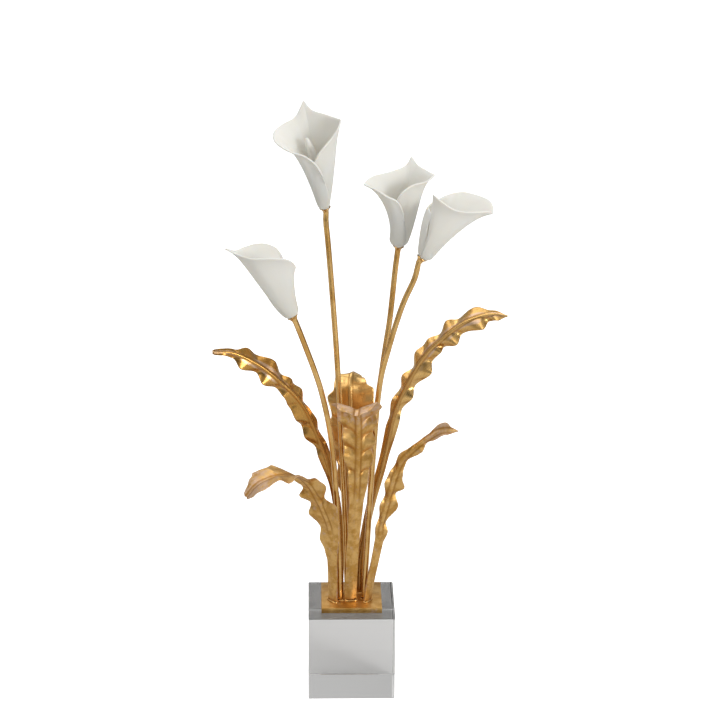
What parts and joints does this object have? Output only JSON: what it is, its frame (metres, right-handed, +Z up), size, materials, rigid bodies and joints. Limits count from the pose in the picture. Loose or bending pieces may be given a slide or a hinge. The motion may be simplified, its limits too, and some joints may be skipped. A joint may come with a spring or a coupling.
{
  "type": "arum lily flower sculpture",
  "caption": "Table sculpture of arum lily flowers: rolled porcelain blooms on slender gilded stems with waved gilded leaves, rising from a plate on a clear crystal block.",
  "frame": {"origin": "centre of the crystal block's bottom face", "axes": "+Z up along the block's height; -Y is the front, where the tallest bloom opens; +X to the viewer's right"},
  "size_m": [0.2952, 0.1282, 0.6262],
  "materials": {
    "crystal": "clear polished crystal with sharp ground edges",
    "gilding": "satin brushed gilding with worn pinkish-grey edges",
    "porcelain": "matte unglazed porcelain"
  },
  "bodies": {
    "root": {"crystal_block": "crystal", "base_plate": "gilding", "stem_tall": "gilding", "spathe_tall": "porcelain", "spadix_tall": "porcelain", "stem_middle": "gilding", "spathe_middle": "porcelain", "spadix_middle": "porcelain", "stem_right": "gilding", "spathe_right": "porcelain", "spadix_right": "porcelain", "stem_low": "gilding", "spathe_low": "porcelain", "spadix_low": "porcelain", "leaf_upper_left": "gilding", "leaf_upper_right": "gilding", "leaf_lower_left": "gilding", "leaf_lower_right": "gilding", "leaf_front": "gilding", "leaf_back": "gilding"}
  },
  "joints": []
}
